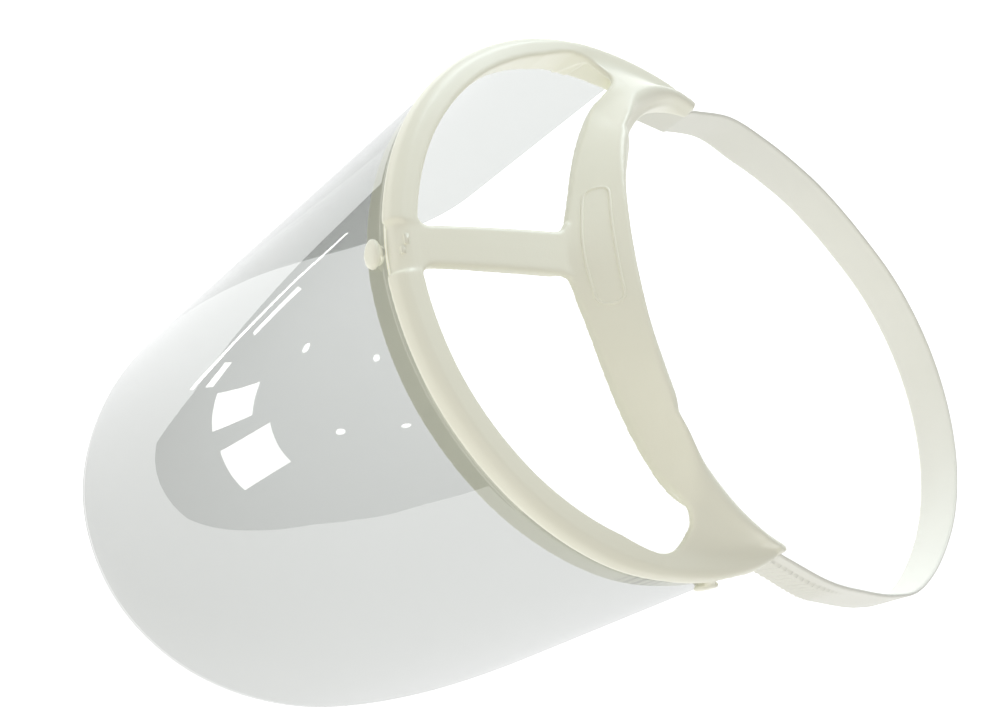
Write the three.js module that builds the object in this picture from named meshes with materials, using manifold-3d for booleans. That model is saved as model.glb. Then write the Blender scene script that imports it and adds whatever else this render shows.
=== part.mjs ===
// Face shield with a moulded open frame, a clear wrap-round film visor and a
// flexible toothed head strap.  Millimetres, +Z up, wearer faces -Y, the
// wearer's left is +X.  Z = 0 is the lower edge of the rim's outer lip.

import * as THREE from 'three';
import { mergeVertices } from 'three/addons/utils/BufferGeometryUtils.js';
import Module from 'manifold-3d';

const wasm = await Module();
wasm.setup();

// ---------------------------------------------------------------- dimensions

const GAP = 0.3;                 // clearance between neighbouring pieces

// Frame outlines, one half each, from the centre line to the wearer's left.
const RIM_LIP = [[0, -129.5, 0], [36.2, -121, 0], [65.2, -99.2, 0], [82.8, -69.4, 0],
  [87.4, -38, 0], [84.2, -13, 0], [78.2, 1, 0.3]];
const BAND_FRONT = [[0, -79, 15.2], [22.5, -72.3, 13.8], [43, -62.4, 11.4], [62.5, -48.4, 9]];
const BAND_REAR = [[0, -65.5, 25], [20, -63.8, 24.4], [38.5, -57.4, 22.4], [54.5, -45.6, 18.6]];
const TEMPLE_TOP = [[78, -54, 4.8], [79.2, -32, 4.8], [78, -13, 4], [77.4, 0.9, 2.6]];
const TEMPLE_CREASE = [[55.5, -53.5, 9.9], [62.5, -48.4, 9], [70.4, -32, 8], [75, -14, 6],
  [76.7, 0.8, 3.3]];
const TEMPLE_REAR = [[46.5, -52, 20.8], [54.5, -45.6, 18.6], [66.4, -30.6, 14.4], [73.6, -13, 9.2],
  [75.9, 0.7, 4]];

const JOINT_Y = -50;             // plane where rim and brow band run into the temples
const JOINT_LAP = 4;             // both are swept this far past it, then trimmed
const SKIN = 2.2;                // thickness of the moulded skin
const LIP_THICK = 1.3;           // thickness of the skin at the lip edge
const RIM_WIDTH = 8.3;           // lip edge to inner top edge
const RIM_RISE = 4.9;            // inner top edge above the lip edge
const FILM_SEAT = 1.9;           // wall face that the film lies on, inside the lip
const RIM_WALL = 1.8;            // thickness of that wall
const WALL_BOTTOM = -11.8;       // lower edge of that wall
const INNER_WALL = 1.6;          // thickness of the rim's inner wall, along the windows
const INNER_BOTTOM = [1.5, -8.4];  // its lower edge at the front and at the temples
const INNER_DEEPENS = [-110, -48]; // Y range over which it deepens
const TEMPLE_WALL_END = -21.5;   // the film's wall stops here along each temple
const BROW_WALL = 9;             // height of the wall that lies on the forehead
const BROW_WALL_THICK = 1.8;
const NOTCH_WIDTH = 15;          // gap in the lip over the centre stud

const STRUT_WIDTH = 12;
const STRUT_DEPTH = 3.8;         // height of its down-turned sides
const STRUT_SIDE = 1.8;

const STUD_Z = -4.6;             // height of the three film studs
const STUD_NECK = 2.4;           // neck radius
const STUD_HEAD = [4.4, 3.4];    // head half sizes, across and up
const SIDE_STUD_Y = -27.5;
const SIDE_NOTCH = [-26.5, -17]; // gap in each temple's lip beside the stud

const FILM_THICK = 0.5;
const FILM_CLEAR = 0.5;          // film to wall, so that the two sets of facets stay apart
const FILM_TOP = -1.7;
const FILM_HEIGHT = 234;
const FILM_CORNER = [181, 132];  // half sizes of the two large lower corners, along and up
const FILM_END_Y = -23.5;        // where the film's side edges meet the temples
const FILM_HOLE = 3;             // radius of its three stud holes
const FILM_TILT = 0.065;         // backward lean per millimetre of drop
const FILM_FLARE = 0.044;        // outward lean per millimetre of drop

const STRAP_THICK = 1.3;
const STRAP_HEIGHT = 14.4;       // beside the temples
const REAR_HEIGHT = 18.3;        // behind the head
const TAIL_HEIGHT = 11.2;
const TAIL_DROP = 3.2;           // tail's top edge below the strap's
const TAIL_X = 77.4;             // middle of the strap's thickness in the temples
const TAIL_FRONT = -27;
const TAIL_STEP = -2;            // the tail widens to the full strap here
const TAIL_SLOPE = Math.tan(THREE.MathUtils.degToRad(8));
const STRAP_LEVEL = -1.45;       // height of the strap's top edge at Y = 0
const STRAP_TOP = [[0, 165.9, -33.5], [26.5, 162, -33.4], [50.5, 150.4, -33],
  [69.9, 131.9, -32.1], [81.7, 108.6, -27.9], [85.5, 83.4, -21.1], [86, 57.5, -13.6],
  [84.6, 31.5, -6.7], [TAIL_X + 0.7, 6, -2.1]];
const STRAP_LEAN = 0.06;         // backward lean of the strap's lower edge, at full
const LEAN_FROM = 6;             // the lean grows between these two Y
const LEAN_TO = 60;
const TOOTH_PITCH = 3;
const TOOTH_DEPTH = 0.6;
const TEETH_FROM = -25;          // toothed length of each tail
const TEETH_TO = 2;

const KEEPER_FROM = -17;         // keeper hook under each temple
const KEEPER_TO = -11.5;
const KEEPER_THICK = 1.5;
const KEEPER_TOP = -0.7;
const PAWL_FROM = -28;           // hinge end of each ratchet pawl
const PAWL_HEIGHT = 7;
const PAWL_THICK = 1.1;

// ------------------------------------------------------------------- helpers

const v3 = (p) => new THREE.Vector3(p[0], p[1], p[2] ?? 0);
const flipX = (p) => [-p[0], p[1], p[2] ?? 0];

function curveThrough(points) {
  return new THREE.CatmullRomCurve3(points.map(v3), false, 'centripetal');
}

function symmetricCurve(half) {
  return curveThrough([...half.slice(1).reverse().map(flipX), ...half]);
}

// Position along a symmetric curve (0 to 1) where its +X half passes y.
function whereY(curve, y) {
  let low = 0.5;
  let high = 1;
  for (let i = 0; i < 40; i += 1) {
    const middle = (low + high) / 2;
    if (curve.getPointAt(middle).y < y) low = middle;
    else high = middle;
  }
  return (low + high) / 2;
}

// Horizontal outward direction at a place on a curve that runs from -X to +X.
function outwardAt(curve, u) {
  const t = curve.getTangentAt(u);
  return new THREE.Vector3(t.y, -t.x, 0).normalize();
}

// A closed solid through loops of points, one loop for each station.
function loft(loops, capOutline) {
  const count = loops[0].length;
  const positions = loops.flat().flatMap((p) => [p.x, p.y, p.z]);
  const index = [];
  for (let s = 0; s < loops.length - 1; s += 1) {
    for (let i = 0; i < count; i += 1) {
      const a = s * count + i;
      const b = s * count + ((i + 1) % count);
      index.push(a, b, b + count, a, b + count, a + count);
    }
  }
  const outline = capOutline.map(([x, y]) => new THREE.Vector2(x, y));
  const last = (loops.length - 1) * count;
  const clockwise = THREE.ShapeUtils.isClockWise(outline);
  for (const face of THREE.ShapeUtils.triangulateShape(outline, [])) {
    const [i, j, k] = clockwise ? [face[0], face[2], face[1]] : face;
    index.push(i, k, j, last + i, last + j, last + k);
  }
  const geometry = new THREE.BufferGeometry();
  geometry.setAttribute('position', new THREE.Float32BufferAttribute(positions, 3));
  geometry.setIndex(index);
  return geometry;
}

// Signed volume, used to turn a lofted solid the right way out.
function volume(geometry) {
  const p = geometry.attributes.position;
  const index = geometry.index.array;
  const [a, b, c] = [new THREE.Vector3(), new THREE.Vector3(), new THREE.Vector3()];
  let sum = 0;
  for (let i = 0; i < index.length; i += 3) {
    a.fromBufferAttribute(p, index[i]);
    b.fromBufferAttribute(p, index[i + 1]);
    c.fromBufferAttribute(p, index[i + 2]);
    sum += a.dot(b.cross(c)) / 6;
  }
  return sum;
}

function outwardFaces(geometry) {
  if (volume(geometry) >= 0) return geometry;
  const index = geometry.index.array;
  for (let i = 0; i < index.length; i += 3) {
    [index[i], index[i + 1]] = [index[i + 1], index[i]];
  }
  return geometry;
}

function toSolid(geometry) {
  const bare = geometry.clone();
  bare.deleteAttribute('normal');
  bare.deleteAttribute('uv');
  const merged = outwardFaces(mergeVertices(bare, 1e-4));
  const mesh = new wasm.Mesh({
    numProp: 3,
    vertProperties: new Float32Array(merged.attributes.position.array),
    triVerts: new Uint32Array(merged.index.array),
  });
  return new wasm.Manifold(mesh);
}

function toGeometry(solid) {
  const mesh = solid.getMesh();
  const geometry = new THREE.BufferGeometry();
  geometry.setAttribute('position', new THREE.Float32BufferAttribute(mesh.vertProperties, 3));
  geometry.setIndex(Array.from(mesh.triVerts));
  return geometry;
}

function boxSolid(low, high) {
  const size = v3(high).sub(v3(low));
  const box = new THREE.BoxGeometry(size.x, size.y, size.z);
  box.translate((low[0] + high[0]) / 2, (low[1] + high[1]) / 2, (low[2] + high[2]) / 2);
  return toSolid(box);
}

const mirrored = (geometry) => {
  const copy = geometry.clone().scale(-1, 1, 1);
  return outwardFaces(copy.index ? copy : mergeVertices(copy, 1e-4));
};

// ------------------------------------------------------------------ the frame

const rimLip = symmetricCurve(RIM_LIP);

// Sweeps a profile of [outward, up] points, which may vary with Y, along the lip edge.
function sweepRim(profileAt, from, to, steps) {
  const loops = [];
  for (let i = 0; i <= steps; i += 1) {
    const u = from + ((to - from) * i) / steps;
    const at = rimLip.getPointAt(u);
    const out = outwardAt(rimLip, u);
    loops.push(profileAt(at.y).map(([a, b]) => at.clone().addScaledVector(out, a).setZ(b)));
  }
  return loft(loops, profileAt(rimLip.getPointAt(from).y));
}

// Half spaces ahead of and behind the joint plane, as large boxes.
const REACH = 200;
const aheadOfJoint = () => boxSolid([-REACH, -REACH, -REACH], [REACH, JOINT_Y, REACH]);
const behindJoint = () => boxSolid([-REACH, JOINT_Y - GAP, -REACH], [REACH, REACH, REACH]);

function rimProfile(y) {
  const share = THREE.MathUtils.clamp(THREE.MathUtils.inverseLerp(...INNER_DEEPENS, y), 0, 1);
  const inner = THREE.MathUtils.lerp(...INNER_BOTTOM, share);
  return [
    [0, 0], [-0.9, 2.4], [-3, 4.1], [-RIM_WIDTH + 0.8, RIM_RISE], [-RIM_WIDTH, RIM_RISE - 0.6],
    [-RIM_WIDTH, inner], [-RIM_WIDTH + INNER_WALL, inner],
    [-RIM_WIDTH + INNER_WALL, RIM_RISE - SKIN], [-FILM_SEAT - RIM_WALL, 1.4],
    [-FILM_SEAT - RIM_WALL, WALL_BOTTOM], [-FILM_SEAT, WALL_BOTTOM],
    [-FILM_SEAT, -LIP_THICK], [-0.3, -LIP_THICK],
  ];
}
const wallProfile = () => [
  [-FILM_SEAT - RIM_WALL, 1.6], [-FILM_SEAT - RIM_WALL, WALL_BOTTOM],
  [-FILM_SEAT, WALL_BOTTOM], [-FILM_SEAT, 1.6],
];

function visorRim() {
  const end = whereY(rimLip, JOINT_Y + JOINT_LAP);
  const rim = toSolid(sweepRim(rimProfile, 1 - end, end, 50));
  const front = RIM_LIP[0][1];
  const half = NOTCH_WIDTH / 2;
  const notch = boxSolid([-half, front - 5, -3], [half, front + FILM_SEAT - 0.2, 1.7]);
  return toGeometry(rim.subtract(notch).subtract(behindJoint()));
}

// Face from a front edge to a rear edge, with a wall turned down at the rear.
function bandLoop(front, mids, rear, edge) {
  const back = rear.clone().sub(front).setZ(0).normalize();
  const down = (p, drop, along = 0) => (
    p.clone().addScaledVector(back, along).add(new THREE.Vector3(0, 0, -drop)));
  const wall = 0.9;
  return [
    down(front, 0.5, -0.1), front.clone(), ...mids.map((p) => p.clone()), rear.clone(),
    down(rear, 0.5, wall), down(rear, 2, wall + 0.6), down(rear, BROW_WALL, wall + 0.6),
    down(rear, BROW_WALL, wall + 0.6 - BROW_WALL_THICK),
    down(rear, SKIN + 1.2, wall + 0.4 - BROW_WALL_THICK),
    ...mids.slice().reverse().map((p) => down(p, SKIN)), down(front, edge, 0.3),
  ];
}

// Outline for the end cap of a band, measured in its own vertical plane.
function capOf(loop) {
  const start = loop[0];
  const side = loop[Math.floor(loop.length / 2)].clone().sub(start).setZ(0).normalize();
  return loop.map((p) => [p.clone().sub(start).dot(side), p.z - start.z]);
}

function browBand() {
  const front = symmetricCurve(BAND_FRONT);
  const rear = symmetricCurve(BAND_REAR);
  const steps = 31;
  const loops = [];
  for (let i = 0; i <= steps; i += 1) {
    loops.push(bandLoop(front.getPoint(i / steps), [], rear.getPoint(i / steps), SKIN));
  }
  return toGeometry(toSolid(loft(loops, capOf(loops[0]))).subtract(behindJoint()));
}

function windowEnd() {
  const shape = new THREE.Shape();
  shape.moveTo(55, -56);
  shape.lineTo(61.3, -49.8);
  shape.bezierCurveTo(65.6, -44.8, 68.6, -38.6, 73, -38.6);
  shape.bezierCurveTo(77.4, -38.6, 78.9, -43.4, 79.1, -49.8);
  shape.lineTo(79.1, -56);
  const cutter = new THREE.ExtrudeGeometry(shape, { depth: 60, bevelEnabled: false, curveSegments: 7 });
  return toSolid(cutter.translate(0, 0, -30));
}

function temple() {
  const top = curveThrough(TEMPLE_TOP);
  const crease = curveThrough(TEMPLE_CREASE);
  const rear = curveThrough(TEMPLE_REAR);
  const tip = 0.9995;
  const start = whereY(rimLip, JOINT_Y - JOINT_LAP);
  const steps = 14;
  const loops = [];
  for (let i = 0; i <= steps; i += 1) {
    const t = i / steps;
    const lip = rimLip.getPointAt(start + (tip - start) * t);
    loops.push(bandLoop(lip, [top.getPointAt(t), crease.getPointAt(t)], rear.getPointAt(t), LIP_THICK));
  }
  const skin = toSolid(loft(loops, capOf(loops[0])));
  const wallEnd = whereY(rimLip, TEMPLE_WALL_END);
  const wall = toSolid(sweepRim(wallProfile, start, wallEnd, 6));
  const inner = rimLip.getPointAt(wallEnd).x - 1.7;
  const notch = boxSolid([inner, SIDE_NOTCH[0], -3], [REACH, SIDE_NOTCH[1], 1.4]);
  return toGeometry(skin.add(wall).subtract(notch).subtract(windowEnd()).subtract(aheadOfJoint()));
}

function centreStrut() {
  const from = new THREE.Vector3(0, RIM_LIP[0][1] + RIM_WIDTH + 2 * GAP, RIM_RISE - 0.3);
  const to = new THREE.Vector3(0, BAND_FRONT[0][1] - 0.2 - 2 * GAP, BAND_FRONT[0][2] - 0.5);
  const middle = from.clone().lerp(to, 0.5).add(new THREE.Vector3(0, 0, 0.8));
  const line = new THREE.QuadraticBezierCurve3(from, middle, to);
  const half = STRUT_WIDTH / 2;
  const profile = [
    [-half, -STRUT_DEPTH], [-half, -0.8], [-half + 0.8, 0], [half - 0.8, 0], [half, -0.8],
    [half, -STRUT_DEPTH], [half - STRUT_SIDE, -STRUT_DEPTH], [half - STRUT_SIDE, -SKIN],
    [-half + STRUT_SIDE, -SKIN], [-half + STRUT_SIDE, -STRUT_DEPTH],
  ];
  const loops = [];
  for (let i = 0; i <= 6; i += 1) {
    const at = line.getPoint(i / 6);
    loops.push(profile.map(([x, z]) => new THREE.Vector3(x, at.y, at.z + z)));
  }
  return loft(loops, profile);
}

// ------------------------------------------------------------------ the studs

// Mushroom stud along +Y from its root: a round neck and a rounded flat head.
function stud(neckLength, headThick) {
  const neck = new THREE.CylinderGeometry(STUD_NECK, STUD_NECK, neckLength + 0.5, 20);
  neck.translate(0, (neckLength + 0.5) / 2, 0);
  const [across, up] = STUD_HEAD;
  const outline = new THREE.Shape();
  outline.absellipse(0, 0, across, up, 0, 2 * Math.PI);
  const head = new THREE.ExtrudeGeometry(outline, {
    depth: headThick - 1.2, bevelThickness: 0.6, bevelSize: 0.6, bevelOffset: -0.6,
    bevelSegments: 2, curveSegments: 10,
  });
  head.rotateX(-Math.PI / 2).translate(0, neckLength + 0.6, 0);
  return toGeometry(toSolid(neck).add(toSolid(head)));
}

const STUD_LENGTH = FILM_THICK + 2 * GAP + 0.5;

function centreStud() {
  const seat = RIM_LIP[0][1] + FILM_SEAT;
  return stud(STUD_LENGTH, 2.8).rotateZ(Math.PI).translate(0, seat - GAP, STUD_Z);
}

function sideStud() {
  const u = whereY(rimLip, SIDE_STUD_Y);
  const out = outwardAt(rimLip, u);
  const at = rimLip.getPointAt(u).addScaledVector(out, GAP - FILM_SEAT).setZ(STUD_Z);
  return stud(STUD_LENGTH, 2.2).rotateZ(Math.atan2(-out.x, out.y)).translate(at.x, at.y, at.z);
}

// -------------------------------------------------------------------- the film

function filmHole(u) {
  const out = outwardAt(rimLip, u);
  const at = rimLip.getPointAt(u).setZ(STUD_Z);
  const pin = new THREE.CylinderGeometry(FILM_HOLE, FILM_HOLE, 12, 24);
  return toSolid(pin.rotateZ(Math.atan2(-out.x, out.y)).translate(at.x, at.y, at.z));
}

function visorFilm() {
  const end = whereY(rimLip, FILM_END_Y);
  const length = rimLip.getLength() * (end - 0.5);
  const inner = FILM_CLEAR - FILM_SEAT;
  const stations = [];
  const corner = Math.min(FILM_CORNER[0], length);
  const cornerSteps = 26;
  for (let i = 0; i <= cornerSteps; i += 1) {
    const angle = (Math.PI / 2) * (i / cornerSteps);
    const fromEnd = corner * (1 - Math.cos(angle));
    stations.push([fromEnd, FILM_HEIGHT - FILM_CORNER[1] * (1 - Math.sin(angle))]);
  }
  const half = stations.map(([fromEnd, drop]) => [1 - end + fromEnd / rimLip.getLength(), drop]);
  const mirroredHalf = half.slice(0, -1).reverse().map(([u, drop]) => [1 - u, drop]);
  const loops = [...half, ...mirroredHalf].map(([u, drop]) => {
    const at = rimLip.getPointAt(u);
    const out = outwardAt(rimLip, u);
    const outer = inner + FILM_THICK;
    const corners = [[inner, FILM_TOP], [outer, FILM_TOP], [outer, -drop], [inner, -drop]];
    return corners.map(([a, z]) => {
      const fall = FILM_TOP - z;
      const p = at.clone().addScaledVector(out, a + fall * FILM_FLARE).setZ(z);
      return p.add(new THREE.Vector3(0, fall * FILM_TILT, 0));
    });
  });
  const sheet = toSolid(loft(loops, [[0, 0], [1, 0], [1, -1], [0, -1]]));
  const side = whereY(rimLip, SIDE_STUD_Y);
  return toGeometry(sheet.subtract(filmHole(0.5)).subtract(filmHole(side)).subtract(filmHole(1 - side)));
}

// ------------------------------------------------------------------- the strap

// One loop of the strap: thickness across, height down from its top edge.
function strapLoop(top, out, extra, height) {
  const lean = STRAP_LEAN * THREE.MathUtils.smoothstep(top.y, LEAN_FROM, LEAN_TO);
  const inner = top.clone().addScaledVector(out, -STRAP_THICK / 2);
  const outer = top.clone().addScaledVector(out, STRAP_THICK / 2 + extra);
  const fall = new THREE.Vector3(0, lean * height, -height);
  return [inner, outer, outer.clone().add(fall), inner.clone().add(fall)];
}

const tailTop = (y) => STRAP_LEVEL - TAIL_SLOPE * y - TAIL_DROP;

// Stations of one tail, from its front end back to where the strap curves.
function tailStations(sign) {
  const out = new THREE.Vector3(sign, 0, 0);
  const stations = [];
  const add = (y, extra, height) => {
    const top = tailTop(y) + (height < STRAP_HEIGHT ? 0 : TAIL_DROP);
    stations.push(strapLoop(new THREE.Vector3(sign * TAIL_X, y, top), out, extra, height));
  };
  add(TAIL_FRONT, 0, TAIL_HEIGHT);
  for (let y = TEETH_FROM; y < TEETH_TO - 0.1; y += TOOTH_PITCH) {
    const height = y < TAIL_STEP ? TAIL_HEIGHT : STRAP_HEIGHT;
    if (y >= TAIL_STEP && y - TOOTH_PITCH < TAIL_STEP) add(y - 0.2, 0, TAIL_HEIGHT);
    add(y, 0, height);
    add(y + TOOTH_PITCH - 0.4, TOOTH_DEPTH, height);
  }
  add(TEETH_TO, 0, STRAP_HEIGHT);
  return stations;
}

function rearStrap() {
  const bow = symmetricCurve(STRAP_TOP);
  const steps = 60;
  const loops = [];
  for (let i = 0; i <= steps; i += 1) {
    const t = bow.getTangentAt(i / steps);
    const out = new THREE.Vector3(-t.y, t.x, 0).normalize();
    const top = bow.getPointAt(i / steps);
    const rear = THREE.MathUtils.smoothstep(top.y, LEAN_FROM, LEAN_TO);
    loops.push(strapLoop(top, out, 0, THREE.MathUtils.lerp(STRAP_HEIGHT, REAR_HEIGHT, rear)));
  }
  const stations = [...tailStations(-1), ...loops, ...tailStations(1).reverse()];
  return loft(stations, [[0, 0], [1, 0], [1, -1], [0, -1]]);
}

const TOOTH_CREST = TAIL_X + STRAP_THICK / 2 + TOOTH_DEPTH;

// Hook that hangs from the temple and carries the tail's lower edge.
function strapKeeper() {
  const x0 = TOOTH_CREST + GAP + 0.2;
  const x1 = x0 + KEEPER_THICK;
  const floor = tailTop(KEEPER_TO) - TAIL_HEIGHT;
  const outline = new THREE.Shape();
  outline.moveTo(x0, KEEPER_TOP);
  outline.lineTo(x0, floor - GAP);
  outline.lineTo(TAIL_X - 1.5, floor - GAP);
  outline.lineTo(TAIL_X - 1.5, floor - GAP - KEEPER_THICK);
  outline.lineTo(x1 - 0.8, floor - GAP - KEEPER_THICK);
  outline.lineTo(x1, floor - GAP - KEEPER_THICK + 0.8);
  outline.lineTo(x1, KEEPER_TOP);
  const hook = new THREE.ExtrudeGeometry(outline, { depth: KEEPER_TO - KEEPER_FROM, bevelEnabled: false });
  return toGeometry(toSolid(hook.rotateX(Math.PI / 2).translate(0, KEEPER_TO, 0)));
}

// Sprung tongue that drops behind a tooth; it bends outward about its front end.
function ratchetPawl() {
  const x0 = TOOTH_CREST + GAP;
  const outline = new THREE.Shape();
  outline.moveTo(x0 + 0.4, PAWL_FROM);
  outline.lineTo(x0 + 0.4 + PAWL_THICK, PAWL_FROM);
  outline.lineTo(x0 + 0.4 + PAWL_THICK, KEEPER_FROM - GAP);
  outline.lineTo(x0, KEEPER_FROM - GAP);
  outline.lineTo(x0 + 0.4, KEEPER_FROM - 2);
  const tongue = new THREE.ExtrudeGeometry(outline, { depth: PAWL_HEIGHT, bevelEnabled: false });
  return toGeometry(toSolid(tongue.translate(0, 0, -4 - PAWL_HEIGHT)));
}

// ---------------------------------------------------------------- the assembly

const faceShield = new THREE.Group();

function addPart(name, geometry, look) {
  const mesh = new THREE.Mesh(geometry, new THREE.MeshStandardMaterial({ metalness: 0, ...look }));
  mesh.name = name;
  faceShield.add(mesh);
}

const mouldedLook = { color: 0xe4e3d3, roughness: 0.38 };
const strapLook = { color: 0xe9ebe0, roughness: 0.42 };
const filmLook = { color: 0xe6ecec, roughness: 0.05, transparent: true, opacity: 0.25 };

addPart('visor_rim', visorRim(), mouldedLook);
addPart('brow_band', outwardFaces(browBand()), mouldedLook);
addPart('centre_strut', outwardFaces(centreStrut()), mouldedLook);
addPart('centre_stud', centreStud(), mouldedLook);
addPart('visor_film', visorFilm(), filmLook);
addPart('rear_strap', outwardFaces(rearStrap()), strapLook);

const sidePieces = {
  temple: temple(),
  side_stud: sideStud(),
  strap_keeper: strapKeeper(),
  ratchet_pawl: ratchetPawl(),
};
for (const [name, geometry] of Object.entries(sidePieces)) {
  addPart(`${name}_left`, geometry, mouldedLook);
  addPart(`${name}_right`, mirrored(geometry), mouldedLook);
}

export default faceShield;
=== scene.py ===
"""Face shield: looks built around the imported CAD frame.  Metres, +Z up, wearer faces -Y."""

import math

import bmesh
import bpy
import numpy as np
from mathutils import Matrix, Vector


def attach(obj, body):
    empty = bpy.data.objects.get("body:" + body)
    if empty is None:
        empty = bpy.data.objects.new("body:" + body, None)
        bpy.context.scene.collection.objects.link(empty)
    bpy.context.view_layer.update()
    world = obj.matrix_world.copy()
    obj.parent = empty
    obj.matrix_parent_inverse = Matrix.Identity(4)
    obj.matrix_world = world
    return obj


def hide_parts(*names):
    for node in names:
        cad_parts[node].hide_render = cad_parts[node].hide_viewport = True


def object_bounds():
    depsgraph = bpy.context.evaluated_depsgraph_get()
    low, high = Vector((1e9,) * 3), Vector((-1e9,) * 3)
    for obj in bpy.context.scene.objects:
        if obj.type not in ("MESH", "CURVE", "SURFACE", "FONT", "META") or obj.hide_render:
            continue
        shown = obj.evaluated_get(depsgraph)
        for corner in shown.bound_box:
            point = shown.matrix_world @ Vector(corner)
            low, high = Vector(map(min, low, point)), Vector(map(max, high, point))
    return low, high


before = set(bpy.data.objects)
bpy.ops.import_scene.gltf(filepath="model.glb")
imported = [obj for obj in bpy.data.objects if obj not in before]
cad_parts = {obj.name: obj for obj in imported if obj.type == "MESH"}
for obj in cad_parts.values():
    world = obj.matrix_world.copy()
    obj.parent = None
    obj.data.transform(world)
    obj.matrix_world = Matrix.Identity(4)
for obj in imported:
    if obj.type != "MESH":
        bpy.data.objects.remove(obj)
cad_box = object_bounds()
MM = 0.001                       # every shape below is worked out in millimetres

# ------------------------------------------------- outlines, in millimetres, +X half

# Outer edge of the rim's lip, (x, y, z), from the front to the temple tip.
RIM_LIP = [(0, -129.5, 0), (36.2, -121, 0), (65.2, -99.2, 0), (82.8, -69.4, 0),
           (87.4, -38, 0), (84.2, -13, 0), (78, 2.4, 0.2)]
# Front and rear edges of the brow band's sloping face, (x, y, z).
BAND_FRONT = [(0, -79, 15.2), (22.5, -72.3, 13.8), (43, -62.4, 11.4), (62.5, -48.4, 9),
              (70.4, -32, 8), (75, -14, 6), (77.1, 2.4, 2.8)]
BAND_REAR = [(0, -65.5, 25), (20, -63.8, 24.4), (38.5, -57.4, 22.4), (54.5, -45.6, 18.6),
             (66.4, -30.6, 14.4), (73.6, -13, 9.2), (76.3, 2.4, 3.5)]
# Ridge along the outer side of the temple, (x, y, z).
TEMPLE_TOP = [(78, -54, 4.8), (79.2, -32, 4.8), (78, -13, 4), (77.4, 2.4, 2.4)]
# Upper edge of the rear strap, (x, y, z), from the back of the head to the temple.
STRAP_TOP = [(0, 165.9, -33.5), (26.5, 162, -33.4), (50.5, 150.4, -33), (69.9, 131.9, -32.1),
             (81.7, 108.6, -27.9), (85.5, 83.4, -21.1), (86, 57.5, -13.6), (84.6, 31.5, -6.7),
             (78.1, 6, -2.1)]
# Rounded end of the window between rim and band, (x, y).
WINDOW_NOSE = [(59.5, -51.4), (62.6, -48.6), (65.6, -46), (68.6, -43.6), (71.8, -42.1),
               (75.4, -42.2), (78.4, -44.6), (79.9, -48.3), (80, -52.5)]

# --------------------------------------------------------------------- curves


def mirror_half(half):
    """Both halves of a symmetric outline, from -X to +X."""
    return [(-p[0],) + tuple(p[1:]) for p in half[:0:-1]] + [tuple(p) for p in half]


def catmull(points, per=40):
    """Dense points on a centripetal Catmull-Rom curve through the given points."""
    pts = [np.array(p, float) for p in points]
    pts = [2 * pts[0] - pts[1]] + pts + [2 * pts[-1] - pts[-2]]
    out = []
    for i in range(1, len(pts) - 2):
        p0, p1, p2, p3 = pts[i - 1:i + 3]
        d0, d1, d2 = (max(np.linalg.norm(b - a) ** 0.5, 1e-4) for a, b in ((p0, p1), (p1, p2), (p2, p3)))
        m1 = ((p1 - p0) / d0 - (p2 - p0) / (d0 + d1) + (p2 - p1) / d1) * d1
        m2 = ((p2 - p1) / d1 - (p3 - p1) / (d1 + d2) + (p3 - p2) / d2) * d1
        w = np.linspace(0, 1, per, endpoint=False)[:, None]
        square = 3 * (p2 - p1) - 2 * m1 - m2
        cube = 2 * (p1 - p2) + m1 + m2
        out.append(p1 + m1 * w + square * w ** 2 + cube * w ** 3)
    out.append(pts[-2][None])
    return np.vstack(out)


def smoothstep(x, a, b):
    """0 below a, 1 above b, with a smooth rise between them."""
    t = np.clip((np.asarray(x, float) - a) / (b - a), 0, 1)
    return t * t * (3 - 2 * t)


NEAR = 0.4                       # a path's direction is taken over this distance each way


class Path:
    """A dense curve that can be read by arc length."""

    def __init__(self, points, per=60):
        self.p = catmull(points, per)
        steps = np.linalg.norm(np.diff(self.p, axis=0), axis=1)
        self.s = np.concatenate([[0], np.cumsum(steps)])
        self.length = self.s[-1]

    def at(self, s):
        """Points at the given arc lengths."""
        s = np.asarray(s, float)
        return np.stack([np.interp(s, self.s, self.p[:, k]) for k in range(self.p.shape[1])], -1)

    def out(self, s):
        """Horizontal direction to the right of travel."""
        d = self.at(np.minimum(s + NEAR, self.length)) - self.at(np.maximum(s - NEAR, 0))
        n = np.stack([d[..., 1], -d[..., 0], 0 * d[..., 0]], -1)
        return n / np.linalg.norm(n, axis=-1, keepdims=True)

    def where_y(self, y):
        """Arc length at which the +X half passes y."""
        half = self.s > self.length / 2
        return float(np.interp(y, self.p[half][:, 1], self.s[half]))


def rounded(corners, n=4):
    """A closed outline of (x, y, radius) corners, each rounded with n + 1 points."""
    pts = np.array([c[:2] for c in corners], float)
    out = []
    for i, (x, y, r) in enumerate(corners):
        p = pts[i]
        a, b = pts[i - 1] - p, pts[(i + 1) % len(pts)] - p
        la, lb = np.linalg.norm(a), np.linalg.norm(b)
        a, b = a / max(la, 1e-6), b / max(lb, 1e-6)
        angle = math.acos(float(np.clip(a @ b, -0.9999, 0.9999)))
        t = min(r / max(math.tan(angle / 2), 1e-3), 0.48 * la, 0.48 * lb)
        w = np.linspace(0, 1, n + 1)[:, None]
        out.append((p + a * t) * (1 - w) ** 2 + 2 * p * w * (1 - w) + (p + b * t) * w ** 2)
    return np.vstack(out)


# --------------------------------------------------------------------- meshes


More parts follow.
